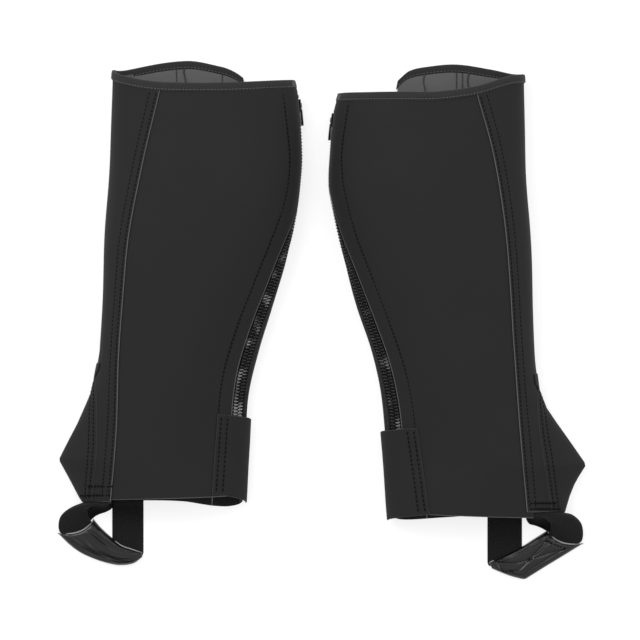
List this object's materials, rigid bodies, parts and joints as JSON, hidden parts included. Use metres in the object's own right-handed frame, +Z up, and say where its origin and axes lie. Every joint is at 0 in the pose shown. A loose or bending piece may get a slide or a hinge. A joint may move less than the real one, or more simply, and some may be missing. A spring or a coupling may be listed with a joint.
{
  "type": "half_chaps",
  "caption": "Pair of black riding half chaps (calf gaiters), rear zip, elastic calf panel, ankle tab and elastic understrap, lying flat with the outer sides up",
  "frame": {"origin": "middle of the pair on the surface it lies on", "axes": "+X from the left gaiter to the right one, +Y from the ankles to the calves, +Z up from the surface, outer sides up"},
  "size_m": [0.5024, 0.494, 0.0618],
  "materials": {
    "panel": "matte",
    "binding": "matte",
    "lining": "matte",
    "stretch": "matte",
    "elastic": "matte",
    "zip_tape": "matte",
    "zip_coil": "gloss",
    "slider": "satin",
    "hook_and_loop": "matte",
    "sleeve": "gloss"
  },
  "bodies": {
    "left_shell": {"left_front_panel": "panel", "left_toe_piece": "panel", "left_inner_side_panel": "panel", "left_inner_lining": "lining", "left_inner_top_binding": "binding", "left_stretch_panel": "stretch", "left_inner_zip_tape": "zip_tape", "left_inner_zip_teeth": "zip_coil", "left_inner_zip_stop": "zip_coil", "left_zip_box": "zip_coil", "left_zip_guard": "zip_tape", "left_loop_patch": "hook_and_loop"},
    "left_outer_wing": {"left_outer_side_panel": "panel", "left_outer_lining": "lining", "left_outer_top_binding": "binding", "left_outer_zip_tape": "zip_tape", "left_outer_zip_teeth": "zip_coil", "left_outer_zip_stop": "zip_coil", "left_zip_pin": "zip_coil"},
    "left_ankle_tab": {"left_ankle_tab": "panel", "left_hook_patch": "hook_and_loop"},
    "left_zip_slider": {"left_zip_slider": "slider"},
    "left_zip_pull": {"left_zip_pull": "slider"},
    "left_understrap": {"left_outer_strap_elastic": "elastic", "left_inner_strap_elastic": "elastic", "left_strap_sleeve": "sleeve"},
    "right_shell": {"right_front_panel": "panel", "right_toe_piece": "panel", "right_inner_side_panel": "panel", "right_inner_lining": "lining", "right_inner_top_binding": "binding", "right_stretch_panel": "stretch", "right_inner_zip_tape": "zip_tape", "right_inner_zip_teeth": "zip_coil", "right_inner_zip_stop": "zip_coil", "right_zip_box": "zip_coil", "right_zip_guard": "zip_tape", "right_loop_patch": "hook_and_loop"},
    "right_outer_wing": {"right_outer_side_panel": "panel", "right_outer_lining": "lining", "right_outer_top_binding": "binding", "right_outer_zip_tape": "zip_tape", "right_outer_zip_teeth": "zip_coil", "right_outer_zip_stop": "zip_coil", "right_zip_pin": "zip_coil"},
    "right_ankle_tab": {"right_ankle_tab": "panel", "right_hook_patch": "hook_and_loop"},
    "right_zip_slider": {"right_zip_slider": "slider"},
    "right_zip_pull": {"right_zip_pull": "slider"},
    "right_understrap": {"right_outer_strap_elastic": "elastic", "right_inner_strap_elastic": "elastic", "right_strap_sleeve": "sleeve"}
  },
  "joints": [
    {"name": "pair_spread", "type": "slide", "parent": "left_shell", "child": "right_shell", "axis": [1, 0, 0], "range_m": [0, 0.3]},
    {"name": "left_wing_open", "type": "hinge", "parent": "left_shell", "child": "left_outer_wing", "pos_m": [-0.2005, -0.16, 0.043], "axis": [-0.057, -0.9979, -0.0309], "range_deg": [0, 50]},
    {"name": "left_tab_fold", "type": "hinge", "parent": "left_outer_wing", "child": "left_ankle_tab", "pos_m": [-0.10029, -0.1256, 0.0392], "axis": [-0.0741, -0.9971, -0.0143], "range_deg": [0, 120]},
    {"name": "left_zip_travel", "type": "hinge", "parent": "left_shell", "child": "left_zip_slider", "pos_m": [-0.64016, 0.14297, -0.00432], "axis": [0.0214, -0.0042, -0.9998], "range_deg": [0, 4.6]},
    {"name": "left_pull_swing", "type": "hinge", "parent": "left_zip_slider", "child": "left_zip_pull", "pos_m": [-0.01941, 0.20188, 0.00768], "axis": [0.322, -0.1105, 0.9403], "range_deg": [0, 90]},
    {"name": "left_understrap_stretch", "type": "slide", "parent": "left_shell", "child": "left_understrap", "axis": [0, -1, 0], "range_m": [0, 0.03], "stiffness_N_per_m": 200, "deforming": ["left_outer_strap_elastic", "left_inner_strap_elastic"]},
    {"name": "right_wing_open", "type": "hinge", "parent": "right_shell", "child": "right_outer_wing", "pos_m": [0.1935, -0.16, 0.043], "axis": [-0.0641, 0.9974, 0.0332], "range_deg": [0, 50]},
    {"name": "right_tab_fold", "type": "hinge", "parent": "right_outer_wing", "child": "right_ankle_tab", "pos_m": [0.09573, -0.14041, 0.04017], "axis": [-0.1428, 0.9897, -0.006], "range_deg": [0, 120]},
    {"name": "right_zip_travel", "type": "hinge", "parent": "right_shell", "child": "right_zip_slider", "pos_m": [1.02489, 0.08688, -0.08359], "axis": [0.0904, -0.0028, 0.9959], "range_deg": [0, 2.8]},
    {"name": "right_pull_swing", "type": "hinge", "parent": "right_zip_slider", "child": "right_zip_pull", "pos_m": [0.00873, 0.18797, 0.00826], "axis": [0.3114, -0.0431, -0.9493], "range_deg": [0, 90]},
    {"name": "right_understrap_stretch", "type": "slide", "parent": "right_shell", "child": "right_understrap", "axis": [0, -1, 0], "range_m": [0, 0.03], "stiffness_N_per_m": 200, "deforming": ["right_outer_strap_elastic", "right_inner_strap_elastic"]}
  ]
}
